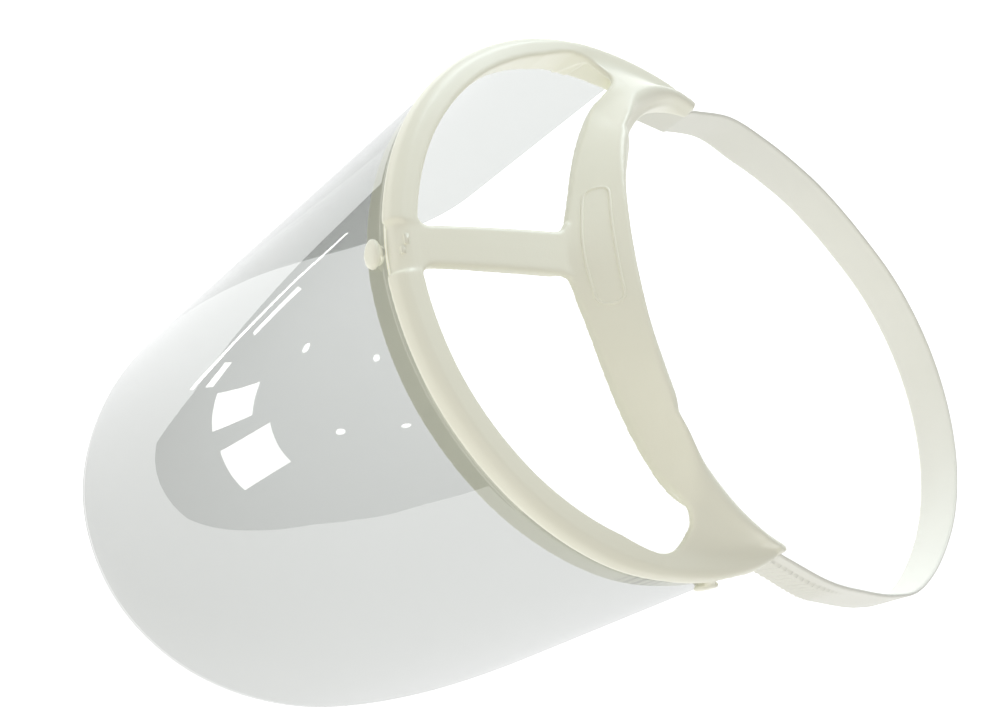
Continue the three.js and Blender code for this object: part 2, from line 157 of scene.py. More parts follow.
def new_object(name, verts, faces):
    """A mesh object from points in millimetres, with its faces turned outward."""
    bm = bmesh.new()
    vs = [bm.verts.new(Vector(v) * MM) for v in verts]
    for f in faces:
        bm.faces.new([vs[i] for i in f])
    bmesh.ops.remove_doubles(bm, verts=bm.verts, dist=1e-7)
    bmesh.ops.recalc_face_normals(bm, faces=bm.faces)
    mesh = bpy.data.meshes.new(name)
    bm.to_mesh(mesh)
    bm.free()
    for poly in mesh.polygons:
        poly.use_smooth = True
    o = bpy.data.objects.new(name, mesh)
    bpy.context.scene.collection.objects.link(o)
    return o


def loft(loops, ring=False):
    """Points and faces of a solid through loops of points."""
    loops = np.asarray(loops, float)
    s, n, _ = loops.shape
    faces = []
    for i in range(s if ring else s - 1):
        a, b = i * n, ((i + 1) % s) * n
        for j in range(n):
            k = (j + 1) % n
            faces.append((a + j, a + k, b + k, b + j))
    if not ring:
        faces.append(tuple(range(n))[::-1])
        faces.append(tuple((s - 1) * n + j for j in range(n)))
    return loops.reshape(-1, 3), faces


def slab(top, bottom):
    """Points and faces of a closed plate between two grids of points."""
    top, bottom = np.asarray(top, float), np.asarray(bottom, float)
    r, c, _ = top.shape
    low = r * c
    faces = []
    for i in range(r - 1):
        for j in range(c - 1):
            a = i * c + j
            faces.append((a, a + 1, a + c + 1, a + c))
            faces.append((low + a, low + a + c, low + a + c + 1, low + a + 1))
    edge = list(range(c)) + [i * c + c - 1 for i in range(1, r)]
    edge += [(r - 1) * c + j for j in range(c - 2, -1, -1)] + [i * c for i in range(r - 2, 0, -1)]
    for a, b in zip(edge, edge[1:] + edge[:1]):
        faces.append((a, low + a, low + b, b))
    return np.vstack([top.reshape(-1, 3), bottom.reshape(-1, 3)]), faces


def apply_modifiers(o):
    """Turn the object's modifiers into its mesh."""
    graph = bpy.context.evaluated_depsgraph_get()
    mesh = bpy.data.meshes.new_from_object(o.evaluated_get(graph))
    o.modifiers.clear()
    o.data = mesh


def join(name, objs):
    """One object from the meshes of several, which are removed."""
    bm = bmesh.new()
    for o in objs:
        bm.from_mesh(o.data)
        bpy.data.objects.remove(o)
    mesh = bpy.data.meshes.new(name)
    bm.to_mesh(mesh)
    bm.free()
    o = bpy.data.objects.new(name, mesh)
    bpy.context.scene.collection.objects.link(o)
    return o


def block(low, high, r):
    """A box with rounded upright edges, as points and faces."""
    corners = [(low[0], low[1]), (high[0], low[1]), (high[0], high[1]), (low[0], high[1])]
    section = rounded([(*corner, r) for corner in corners])
    return loft([[(x, y, z) for x, y in section] for z in np.linspace(low[2], high[2], 5)])


def flip_x(verts):
    """The same points on the other side of the object."""
    return np.asarray(verts) * (-1, 1, 1)


# ------------------------------------------------------------- the frame moulding

lip = Path(mirror_half(RIM_LIP))
band_front = catmull(mirror_half(BAND_FRONT), 20)
band_rear = catmull(mirror_half(BAND_REAR), 20)

RIM_WIDTH = 8.3                  # lip edge to window edge, at the front
RIM_RISE = 4.9                   # window edge above the lip edge, at the front
WIDTH_BY_Y = catmull([(-68, RIM_WIDTH), (-54, 6.5), (-45, 6.5), (-34, 7.4), (-20, 7.1), (-12, 5.8),
                      (-6, 4), (1, 1.4)])
RISE_BY_Y = catmull([(-52, RIM_RISE), (-32, 4.8), (-13, 4), (-6, 3.4), (1, 2.4)])
RIM_CROWN = [(0.95, 2.5), (3.1, 4.2)]  # inward and up from the lip edge: where the rim's top bends
RIM_SKIN = 2.2                   # thickness of the rim's top
RIM_SINKS = (-54, -47)           # y range over which the rim dips below the temple's skin
LIP_DEPTH = 1.3                  # the lip hangs this far below its edge
FILM_WALL = (1.9, 3.7)           # the two faces of the wall that the film lies on, inside the lip
FILM_WALL_DEPTH = 10.5           # that wall below the lip
FILM_WALL_ENDS = (-22.5, -21)
WINDOW_WALL = 1.6                # thickness of the wall along the window
WINDOW_WALL_BOTTOM = ([-112, -98, -84, -70, -57, -47], [2.2, 0.6, -2.4, -4.4, -6.8, -8.5])  # y, z
WINDOW_WALL_ENDS = (-46.5, -44)
LIP_SET_BACK = 1.75              # at the notch over the centre stud and beside each pawl
NOTCH_EDGE = (7.2, 7.8)          # half width of the notch, where its ends start and finish
NOTCH_SINK = 0.75                # the rim's top is lower in the notch
PAWL_GAP = (-27, -26.5, -17.3, -16.8)


def by_y(table, y):
    """The value at y of a table of (y, value)."""
    return float(np.interp(y, table[:, 0], table[:, 1]))


def rim_section(x, y):
    """Inverted channel: lip, crown, inner wall along the window, wall that the film lies on."""
    width, rise = by_y(WIDTH_BY_Y, y), by_y(RISE_BY_Y, y)
    k, q = width / RIM_WIDTH, rise / RIM_RISE
    under = float(smoothstep(y, *RIM_SINKS))
    rise -= 0.7 * under
    q -= 0.12 * under
    wall = -LIP_DEPTH - FILM_WALL_DEPTH * (1 - float(smoothstep(y, *FILM_WALL_ENDS)))
    inner = float(np.interp(y, *WINDOW_WALL_BOTTOM))
    inner += (rise - RIM_SKIN - inner) * float(smoothstep(y, *WINDOW_WALL_ENDS))
    notch = 1 - float(smoothstep(abs(x), *NOTCH_EDGE)) if y < -100 else 0.0
    gap = float(smoothstep(y, *PAWL_GAP[:2]) * (1 - smoothstep(y, *PAWL_GAP[2:])))
    back = LIP_SET_BACK * max(notch, gap)
    sink = NOTCH_SINK * notch
    (low_in, low_up), (high_in, high_up) = RIM_CROWN
    seat, far = FILM_WALL
    return rounded([
        (-0.25 - back, -LIP_DEPTH, 0.35), (-back, -sink * 0.4, 0.6),
        (-low_in * k - back, low_up * q - sink, 1.4), (-high_in * k - back * 0.8, high_up * q - sink, 2),
        (-width, rise + 0.15, 0.9), (-width, inner, 0.4), (-width + WINDOW_WALL * k, inner, 0.4),
        (-width + WINDOW_WALL * k, rise - RIM_SKIN, 0.5), (-far * k, 1.4 * q, 0.5),
        (-far * k, wall, 0.4), (-seat * k, wall, 0.4), (-seat * k, -LIP_DEPTH - 0.05, 0.3),
    ])


def rim_solid():
    """The rim's section swept along the lip, with closer steps at the notch."""
    s = np.linspace(0, lip.length, 361)
    s = np.sort(np.concatenate([s, lip.length / 2 + np.linspace(-9, 9, 61)]))
    loops = []
    for p, n in zip(lip.at(s), lip.out(s)):
        prof = rim_section(p[0], p[1])
        loops.append(p + n * prof[:, :1] + np.array([0, 0, 1]) * prof[:, 1:])
    return loft(loops)


BAND_WALL = 1.8                  # thickness of the head-side wall
BAND_FRONT_WALL = 1.7
BAND_SKIN = 2.7                  # thickness of the sloping face
BAND_DROP = 2.8                  # height of the front wall in the middle
BAND_DROP_EXTRA = 1.3            # it is this much higher towards the temples
BAND_DROP_GROWS = (18, 56)       # distance from the middle over which that comes in
BAND_SINKS = (-56, -50)          # y range over which the band dips below the temple's skin
BAND_WALL_BOTTOM = ([-66, -45, -30, -20, -13, 2], [16, 9.5, 5, 0.6, -1.6, -2.8])  # y, z
LEAN_BY_Y = catmull([(-65.5, 1), (-63, 2.2), (-60, 3.6), (-55, 4.8), (-49, 5.3), (-38, 4.5), (-31, 3.8),
                     (-22, 2.5), (-13, 1.4), (2.4, 1.2)])
LEAN_DEPTH = (2, 4.2)            # the wall leans over this height, at the front and at the temples
LEAN_DEEPENS = (-65.5, -50)


def lean_at(y):
    """How far the head-side wall leans towards the head, and over what height."""
    t = float(smoothstep(y, *LEAN_DEEPENS))
    return by_y(LEAN_BY_Y, y), LEAN_DEPTH[0] * (1 - t) + LEAN_DEPTH[1] * t


def band_section(width, rise, drop, wall, shoulder, lean, depth):
    """Front wall, sloping face, shoulder, and the head-side wall, which leans and then hangs straight."""
    back = width + 0.6
    foot = back + lean
    face, inside = BAND_FRONT_WALL, BAND_WALL
    high = rise + 0.7 * shoulder
    slope = high / back
    return rounded([
        (0, -drop, 0.5), (0, 0, 1.2), (back * 0.45, slope * back * 0.45 + 0.35, 9),
        (back, high, shoulder), (foot, high - depth, 1), (foot, rise - wall, 0.5),
        (foot - inside, rise - wall, 0.5), (foot - inside, high - depth - 1, 1),
        (back - inside, min(rise - 3.9, high - depth), 0.8),
        (face, face * slope - BAND_SKIN, 0.6), (face, -drop, 0.5),
    ], 7)


def band_solid():
    """Brow band: sloping face, broad rear shoulder, wall turned down on the head side."""
    loops = []
    for f, r in zip(band_front, band_rear):
        level = (r - f) * (1, 1, 0)
        width = float(np.linalg.norm(level))
        back = level / width
        under = float(smoothstep(r[1], *BAND_SINKS))
        low = float(np.interp(r[1], *BAND_WALL_BOTTOM))
        rise = r[2] - f[2] - 2.6 * under
        drop = BAND_DROP + BAND_DROP_EXTRA * float(smoothstep(abs(f[0]), *BAND_DROP_GROWS)) - 1.4 * under
        shoulder = min(3.2, 0.28 * width + 0.4)
        prof = band_section(width, rise, drop, rise + f[2] - low, shoulder, *lean_at(r[1]))
        sink = np.array([0, 0, 0.9 * under]) * (1 - np.clip(prof[:, :1] / max(width, 1), 0, 1))
        loops.append(f + back * prof[:, :1] + np.array([0, 0, 1]) * prof[:, 1:] - sink)
    return loft(loops)


# The +X halves of the lines that the temple's skin runs between, head side first.
temple_lines = (band_rear[len(band_rear) // 2:], band_front[len(band_front) // 2:], catmull(TEMPLE_TOP),
                lip.p[len(lip.p) // 2:])
TEMPLE_BLENDS = (-52, -40)       # y range over which the band's shoulder turns into the temple
TEMPLE_SKIN = 2.1
TEMPLE_TIP_Y = 2.3
NOSE_WALL = 1.7                  # thickness of the wall round the window's end
NOSE_WALL_DEPTH = 1.6            # it hangs this far below the skin
RIM_WALL_DEPTH = 8.4             # its lower edge is this far below the lip where it meets the rim's wall
NOSE_WALL_DEEPENS = (0.78, 1)    # shares of its length between which it gets there


def at_y(table, y):
    """A line's (x, z) at y."""
    return np.array([np.interp(y, table[:, 1], table[:, k]) for k in (0, 2)])


def temple_section(y):
    """Points (x, z) across the temple at y, head side first, and their shares of the length."""
    a, c, t, e = (at_y(table, y) for table in temple_lines)
    k, q = by_y(WIDTH_BY_Y, y) / RIM_WIDTH, by_y(RISE_BY_Y, y) / RIM_RISE
    blend = float(smoothstep(y, *TEMPLE_BLENDS))
    turn = 0.35 + 0.65 * blend
    raised = a + (0, 1.1 * (1 - blend))
    c = c * (1 - blend) + (0.5 * (a + t) + (0, 0.3)) * blend
    lean, _ = lean_at(y)
    (low_in, low_up), (high_in, high_up) = RIM_CROWN
    pts = [raised + (-lean * turn, -4.3 * turn), raised + (-0.8 * lean * turn, -2.7 * turn),
           raised + (-0.25 * lean * turn, -1.0 * turn), raised + (1.6 * turn, -0.55 * turn - 0.1),
           c, t + (0, 0.05),
           (e[0] - high_in * k, high_up * q), (e[0] - low_in * k, low_up * q), (e[0] - 0.05, 0.15)]
    pts = [p for i, p in enumerate(pts) if i < 4 or p[0] > pts[3][0] + 0.4]
    line = catmull(pts, 16)
    share = np.concatenate([[0], np.cumsum(np.linalg.norm(np.diff(line, axis=0), axis=1))])
    return line, share / share[-1]


def temple_skin():
    """One smooth web from the head-side wall over to the lip, behind the window's rounded end."""
    nose = catmull(WINDOW_NOSE, 12)

    def share_of(x, y):
        line, share = temple_section(y)
        return float(np.interp(x, line[:, 0], share))

    # Where the skin starts: at the nose, and hidden under the band and the rim on either side of it.
    marks = sorted((share_of(x, y), y) for x, y in nose)
    low, high = marks[0][0], marks[-1][0]
    known = np.array([-0.01, low - 0.06] + [m[0] for m in marks] + [high + 0.06, 1.01])
    start = np.array([-56, -54] + [m[1] for m in marks] + [-54, -58.0])
    across = np.concatenate([np.linspace(0, low, 16)[:-1], np.linspace(low, high, 26),
                             np.linspace(high, 1, 14)[1:]])
    rows, under = [], []
    for q in np.linspace(0, 1, 70):
        row, below = [], []
        for s in across:
            y = float(np.interp(s, known, start)) * (1 - q) + TEMPLE_TIP_Y * q
            line, share = temple_section(y)
            p, ahead, behind = (np.array([np.interp(v, share, line[:, k]) for k in (0, 1)])
                                for v in (s, s + 0.01, s - 0.01))
            along = (ahead - behind) / np.linalg.norm(ahead - behind)
            thick = TEMPLE_SKIN * float(np.clip((1 - s) * 8, 0.45, 1))
            hide = 0.6 * (1 - float(smoothstep(y, -55, -49)))
            inside = p + np.array([along[1], -along[0]]) * thick
            row.append((p[0], y, p[1] - hide))
            below.append((inside[0], y, inside[1] - hide))
        rows.append(row)
        under.append(below)
    return slab(rows, under)


def nose_wall():
    """The wall turned down round the window's end."""
    path = Path(WINDOW_NOSE, 12)
    part = np.linspace(0, 1, 40)
    s = part * path.length
    loops = []
    for share, p, n in zip(part, path.at(s), path.out(s)[..., :2]):
        heights = []
        for u in (0, -NOSE_WALL):
            line, _ = temple_section(float((p + n * u)[1]))
            heights.append(float(np.interp((p + n * u)[0], line[:, 0], line[:, 1])) - 0.5)
        low = min(heights) - NOSE_WALL_DEPTH
        low -= (low + RIM_WALL_DEPTH) * float(smoothstep(share, *NOSE_WALL_DEEPENS))
        prof = rounded([(0, heights[0], 0.4), (0, low, 0.4), (-NOSE_WALL, low, 0.4),
                        (-NOSE_WALL, heights[1], 0.4)])
        loops.append([(*(p + n * u), z) for u, z in prof])
    return loft(loops)


STRUT_ENDS = (-120.9, -78.2)     # y at the rim and at the band
STRUT_HEIGHTS = (4.75, 15.1)     # top face there
STRUT_HALF = (5.9, 6.6)          # half width there
STRUT_MIDDLE = (-0.6, -1.0)      # x of its centre line there
STRUT_FILLETS = (3.4, 4.2)
STRUT_BULGE = 0.9
STRUT_SIDES = (3.8, 2.4)         # its walls hang this far down, and less beside the band
STRUT_WALL = 1.8
STRUT_SKIN = 2.1


def strut_solid():
    """Centre strut with flared, filleted ends; it widens a little towards the brow."""
    y0, y1 = STRUT_ENDS
    (z0, z1), (half0, half1), (x0, x1) = STRUT_HEIGHTS, STRUT_HALF, STRUT_MIDDLE
    loops = []
    for y in np.linspace(y0 - 3, y1 + 1, 90):
        flare = 0.0
        for edge, r in zip((y - y0, y1 + 0.6 - y), STRUT_FILLETS):
            c = min(max(r - edge, 0), r)
            flare += r - math.sqrt(max(r * r - c * c, 0))
        t = (y - y0) / (y1 - y0)
        along = np.clip(t, 0, 1)
        half = half0 + (half1 - half0) * along + min(flare, 3.3)
        middle = x0 + (x1 - x0) * along
        z = z0 + (z1 - z0) * np.clip(t, -0.1, 1.04) + STRUT_BULGE * math.sin(math.pi * along)
        deep = -STRUT_SIDES[0] + (STRUT_SIDES[0] - STRUT_SIDES[1]) * float(smoothstep(y, y1 - 6, y1 - 1))
        bay = half - STRUT_WALL
        prof = rounded([(-half, deep, 0.4), (-half, 0, 1.2), (0, 0.12, 9), (half, 0, 1.2),
                        (half, deep, 0.4), (bay, deep, 0.4), (bay, -STRUT_SKIN, 0.4),
                        (-bay, -STRUT_SKIN, 0.4), (-bay, deep, 0.4)])
        loops.append([(middle + x, y, z + dz) for x, dz in prof])
    return loft(loops)


STUD_Z = -4.6                    # height of the three film studs
STUD_NECK = 2.4                  # neck radius
CENTRE_STUD_Y = -127.6
SIDE_STUD_Y = -27.5


def stud_solid(root, direction, neck, head):
    """A mushroom stud: round neck, rounded oval head, of the given lengths."""
    d = np.array([direction[0], direction[1], 0.0])
    d /= np.linalg.norm(d)
    side = np.array([-d[1], d[0], 0])
    loops = []
    turns = np.linspace(0, 2 * math.pi, 28, endpoint=False)
    stations = [(-1.2, STUD_NECK, STUD_NECK), (neck - 0.1, STUD_NECK, STUD_NECK), (neck, 3.7, 2.8),
                (neck + 0.35, 4.3, 3.3), (neck + 0.7, 4.4, 3.4), (neck + head - 0.6, 4.3, 3.3),
                (neck + head - 0.15, 3.7, 2.8), (neck + head, 2.8, 2.1)]
    for u, across, up in stations:
        middle = np.array(root) + d * u
        loops.append([middle + side * across * math.cos(a) + np.array([0, 0, up * math.sin(a)])
                      for a in turns])
    return loft(loops)


KEEPER_Y = (-17, -11.5)
KEEPER_X = (76, 79, 80.6)        # its floor's inner edge, its wall's inner face, its outer face
KEEPER_Z = (-17.2, -15.9, 1.2)   # underside, floor, top


def keeper_solids():
    """The wall and floor of the bracket under the temple that the strap's tail slides through."""
    (y0, y1), (inner, wall, outer), (low, floor_top, top) = KEEPER_Y, KEEPER_X, KEEPER_Z
    return [block((wall, y0, low), (outer, y1, top), 0.4),
            block((inner, y0, low), (outer, y1, floor_top), 0.4)]


def height_on(o, x, y):
    """Height of the object's top at (x, y)."""
    hit = o.ray_cast(Vector((x, y, 60)) * MM, Vector((0, 0, -1)))
    return hit[1].z / MM if hit[0] else 0.0


OUTLINE_X = (-21, 15)            # ends of the outline on the band's face
OUTLINE_HIGH = 7
OUTLINE_SHARE = (0.24, 0.5)      # where it starts, and its height, as shares of the face's depth
OUTLINE_BEAD = [(-0.55, -0.5), (-0.5, 0), (-0.25, 0.26), (0, 0.33), (0.25, 0.26), (0.5, 0), (0.55, -0.5)]


def face_outline(o):
    """Plain raised outline on the band's face: a long rounded rectangle."""
    left, right = OUTLINE_X
    plan = rounded([(left, 0, 3), (right, 0, 3), (right, OUTLINE_HIGH, 3), (left, OUTLINE_HIGH, 3)], 7)
    plan = [(x, OUTLINE_SHARE[0] + OUTLINE_SHARE[1] * v / OUTLINE_HIGH) for x, v in plan]
    route = []
    for i, (x, v) in enumerate(plan):
        nx, nv = plan[(i + 1) % len(plan)]
        for w in np.linspace(0, 1, 12, endpoint=False):
            route.append((x + (nx - x) * w, v + (nv - v) * w))
    flat = []
    for x, v in route:
        front = np.interp(x, band_front[:, 0], band_front[:, 1])
        back = np.interp(x, band_rear[:, 0], band_rear[:, 1])
        y = front + (back - front) * v
        flat.append(np.array([x, y, height_on(o, x, y)]))
    loops = []
    for i, p in enumerate(flat):
        along = flat[(i + 1) % len(flat)] - flat[i - 1]
        side = np.array([along[1], -along[0], 0]) / np.hypot(along[0], along[1])
        loops.append([p + side * a + np.array([0, -0.3 * h, h]) for a, h in OUTLINE_BEAD])
    return new_object("face_outline", *loft(loops, ring=True))


VOXEL = 0.0006                   # metres
GATE_MARKS = ((-1.9, -124.4, 1.5), (1.2, -125.3, 1.1))  # x, y, half width


def gate_mark(o, x, y, wide):
    """A low pad left by the moulding gate."""
    z = height_on(o, x, y)
    low, high = (x - wide, y - 0.9, z - 0.8), (x + wide, y + 0.9, z + 0.22)
    return new_object("gate_mark", *block(low, high, 0.3))


def frame_moulding():
    """All fixed parts fused into one smooth moulding, with its small marks added afterwards."""
    pieces = [new_object("rim", *rim_solid())]
    pieces.append(new_object("band", *band_solid()))
    pieces.append(new_object("strut", *strut_solid()))
    pieces.append(new_object("stud", *stud_solid((0, CENTRE_STUD_Y, STUD_Z), (0, -1), 1.6, 2.2)))
    s = lip.where_y(SIDE_STUD_Y)
    p, n = lip.at(s), lip.out(s)
    seat = (p - n * FILM_WALL[0])[:2]
    for verts, faces in (temple_skin(), nose_wall(), *keeper_solids(),
                         stud_solid((*seat, STUD_Z), n[:2], 1.6, 1.6)):
        pieces.append(new_object("half", verts, faces))
        pieces.append(new_object("half", flip_x(verts), faces))
    o = join("frame_moulding", pieces)
    m = o.modifiers.new("fuse", "REMESH")
    m.mode, m.voxel_size, m.use_smooth_shade = "VOXEL", VOXEL, True
    m = o.modifiers.new("soften", "SMOOTH")
    m.factor, m.iterations = 0.5, 6
    apply_modifiers(o)
    marks = [face_outline(o)] + [gate_mark(o, *mark) for mark in GATE_MARKS]
    return join("frame_moulding", [o] + marks)


# ----------------------------------------------------------------------- the film


FILM_END_Y = -23.5               # where the film's side edges meet the temples
FILM_TOP = -1.7                  # z of its upper edge
FILM_HEIGHT = 234                # lowest point below the lip
FILM_CORNER = (181, 132)         # half sizes of the two large lower corners, along and up
FILM_FACES = (-0.9, -1.4)        # outer and inner face, inside the lip
FILM_FLARE = 0.044               # outward lean per millimetre of drop
FILM_TILT = 0.065                # backward lean per millimetre of drop


def visor_film():
    """Bent sheet that follows the lip, with two large round lower corners."""
    end = lip.where_y(FILM_END_Y)
    half = end - lip.length / 2
    corner, rise = min(FILM_CORNER[0], half), FILM_CORNER[1]
    angles = np.linspace(0, math.pi / 2, 60)
    places = [(corner * (1 - math.cos(a)), FILM_HEIGHT - rise * (1 - math.sin(a))) for a in angles]
    near = [(lip.length - end + e, d) for e, d in places]
    stations = near + [(lip.length - s, d) for s, d in near[-2::-1]]
    rows = 90
    outer, inner = [], []
    for s, drop in stations:
        p, n = lip.at(s), lip.out(s)
        z = np.linspace(FILM_TOP, -drop, rows)
        fall = FILM_TOP - z
        for grid, face in zip((outer, inner), FILM_FACES):
            q = p[None] * (1, 1, 0) + n[None] * (face + fall[:, None] * FILM_FLARE)
            q[:, 2] = z
            q[:, 1] += fall * FILM_TILT
            grid.append(q)
    return new_object("visor_sheet", *slab(outer, inner))


# ---------------------------------------------------------------------- the strap

STRAP_THICK = 1.3
STRAP_HEIGHT = 14.4              # beside the temples
REAR_EXTRA = 3.9                 # how much higher it is at the back
REAR_LEAN = 0.06                 # of its lower edge backwards there, per millimetre of height
REAR_BEGINS = (6, 60)            # y range over which the extra height and the lean come in
LOOP_MIDDLE = (0, 60, 0)
TAIL_LESS = 3.2                  # how much lower its tails are, under the temples
TAIL_X = 77.4
TAIL_START = -27
TAIL_Z = -1.45                   # of the upper edge at y = 0
TAIL_SLOPE = math.tan(math.radians(8))
TOOTH_PITCH = 3.0
TOOTH_SLANT = 0.45
EDGE_ROUND = (0.45, 0.6)         # depth and height of the rounding at each edge
STRAP_ROWS = 26


def strap_route():
    """Points and outward directions along the upper edge, from one tail's tip to the other's.

    The points are close together wherever there are teeth.
    """
    bow = Path(mirror_half(STRAP_TOP), 80)
    tail_y = np.concatenate([np.arange(TAIL_START, -2.2, 0.3), np.arange(-2.2, 5, 0.4)])
    left = [(np.array([TAIL_X, y, TAIL_Z - TAIL_SLOPE * y]), np.array([1.0, 0, 0])) for y in tail_y]
    route = [(p * (-1, 1, 1), n * (-1, 1, 1)) for p, n in left]
    s = np.concatenate([np.arange(0.5, 48, 0.35), np.linspace(48, bow.length - 48, 150),
                        np.arange(bow.length - 47.65, bow.length - 0.4, 0.35)])
    for p, n in zip(bow.at(s), -bow.out(s)):
        route.append((p, n if n @ (p - LOOP_MIDDLE) > 0 else -n))
    return route + left[::-1]


def strap_teeth(y, down, height, tail):
    """How far the ratchet teeth stand out at y, for each point down the strap's face."""
    amount = float(smoothstep(y, -25.5, -24.5) * (1 - smoothstep(y, 30, 52)))
    amount *= 0.6 + 0.3 * float(smoothstep(y, 3, 6))
    saw = ((y + down * TOOTH_SLANT) / TOOTH_PITCH) % 1.0
    below_top = smoothstep(down, 4.2 * (1 - tail), 4.4 * (1 - tail) + 0.3)
    return amount * (below_top * (1 - smoothstep(down, height - 0.7, height - 0.3))) * saw


def rear_strap():
    """Curved strip with rounded edges and moulded teeth on both tails."""
    loops = []
    for p, n in strap_route():
        y = p[1]
        tail = 1 - float(smoothstep(y, -2.4, -1.6)) if y < 5 else 0.0
        spread = float(smoothstep(y, *REAR_BEGINS))
        height = STRAP_HEIGHT + REAR_EXTRA * spread - TAIL_LESS * tail
        top = p - np.array([0, 0, TAIL_LESS * tail])
        fall = np.array([0, REAR_LEAN * spread, -1.0])
        down = np.linspace(0, 1, STRAP_ROWS) * height
        teeth = strap_teeth(y, down, height, tail)
        depth, reach = EDGE_ROUND
        near_edge = np.maximum(0, 1 - np.minimum(down, height - down) / reach)
        edge = depth * (1 - np.sqrt(np.clip(1 - near_edge ** 2, 0, 1)))
        outer = top + n * (STRAP_THICK / 2 + teeth - edge)[:, None] + fall * down[:, None]
        inner = top - n * (STRAP_THICK / 2 - edge)[:, None] + fall * down[:, None]
        loops.append(np.vstack([outer, inner[::-1]]))
    return new_object("strap_band", *loft(loops))


# ----------------------------------------------------------------------- the pawls


# Its outline from above, (x, y, radius), from the root at the front to the wedge tooth.
PAWL_PLAN = [(78.95, -28, 0.3), (80.1, -28, 0.3), (80.15, -24, 2), (80.35, -17.4, 0.3),
             (79.1, -17.4, 0.2), (78.8, -18.6, 0.2), (79.25, -20.2, 0.4), (79.1, -24, 2)]
PAWL_SIZE = np.array([1.6, 11])  # thickness and length
PAWL_LAYERS = ((-11, 0.3), (-10.85, 0.12), (-10.6, 0), (-4.4, 0), (-4.15, 0.12), (-4, 0.3))  # z, inset


def pawl():
    """Spring finger with a wedge tooth at its free end and softened edges."""
    section = rounded(PAWL_PLAN)
    middle = section.mean(0)
    loops = []
    for z, inset in PAWL_LAYERS:
        shrink = 1 - inset / PAWL_SIZE
        loops.append([(*(middle + (q - middle) * shrink), z) for q in section])
    return loft(loops)


# ----------------------------------------------------------------------- materials


FRAME_COLOURS = ((0.84, 0.835, 0.71), (0.82, 0.81, 0.675))  # main colour and cloudy tint
STRAP_COLOURS = ((0.81, 0.81, 0.74), (0.79, 0.79, 0.715))


def material(name, colour, roughness):
    """A new material, its nodes and its main shader."""
    m = bpy.data.materials.new(name)
    m.use_nodes = True
    shader = m.node_tree.nodes["Principled BSDF"]
    shader.inputs["Base Color"].default_value = (*colour, 1)
    shader.inputs["Roughness"].default_value = roughness
    return m, m.node_tree, shader


def node(tree, kind, **values):
    """A new node; the values set its inputs or its own properties."""
    n = tree.nodes.new(kind)
    for key, value in values.items():
        if key in n.inputs:
            n.inputs[key].default_value = value
        else:
            setattr(n, key, value)
    return n


def map_range(tree, source, low, high):
    """A node that spreads the source from 0..1 to low..high."""
    n = node(tree, "ShaderNodeMapRange")
    n.inputs["To Min"].default_value = low
    n.inputs["To Max"].default_value = high
    tree.links.new(source, n.inputs["Value"])
    return n


def moulded_plastic(name, colour, tint, roughness, glow=0.08, gloss=0.38):
    """Glossy, faintly cloudy plastic with a fine moulded grain; the glow stands for light inside it."""
    m, tree, shader = material(name, colour, roughness)
    link = tree.links.new
    coord = node(tree, "ShaderNodeTexCoord")
    cloud = node(tree, "ShaderNodeTexNoise", Scale=38.0, Detail=4.0)
    grain = node(tree, "ShaderNodeTexNoise", Scale=2600.0, Detail=2.0)
    wave = node(tree, "ShaderNodeTexNoise", Scale=90.0, Detail=2.0)
    for n in (cloud, grain, wave):
        link(coord.outputs["Object"], n.inputs["Vector"])
    ramp = node(tree, "ShaderNodeValToRGB")
    ramp.color_ramp.elements[0].position = 0.15
    ramp.color_ramp.elements[0].color = (*tint, 1)
    ramp.color_ramp.elements[1].position = 0.85
    ramp.color_ramp.elements[1].color = (*colour, 1)
    link(cloud.outputs["Fac"], ramp.inputs["Fac"])
    link(ramp.outputs["Color"], shader.inputs["Base Color"])
    rough = map_range(tree, wave.outputs["Fac"], roughness - 0.05, roughness + 0.07)
    link(rough.outputs["Result"], shader.inputs["Roughness"])
    bump_a = node(tree, "ShaderNodeBump", Strength=0.25, Distance=0.00012)
    bump_b = node(tree, "ShaderNodeBump", Strength=0.18, Distance=0.0008)
    link(grain.outputs["Fac"], bump_a.inputs["Height"])
    link(wave.outputs["Fac"], bump_b.inputs["Height"])
    link(bump_a.outputs["Normal"], bump_b.inputs["Normal"])
    link(bump_b.outputs["Normal"], shader.inputs["Normal"])
    shader.inputs["Specular IOR Level"].default_value = gloss
    shader.inputs["Emission Color"].default_value = (*colour, 1)
    shader.inputs["Emission Strength"].default_value = glow
    return m


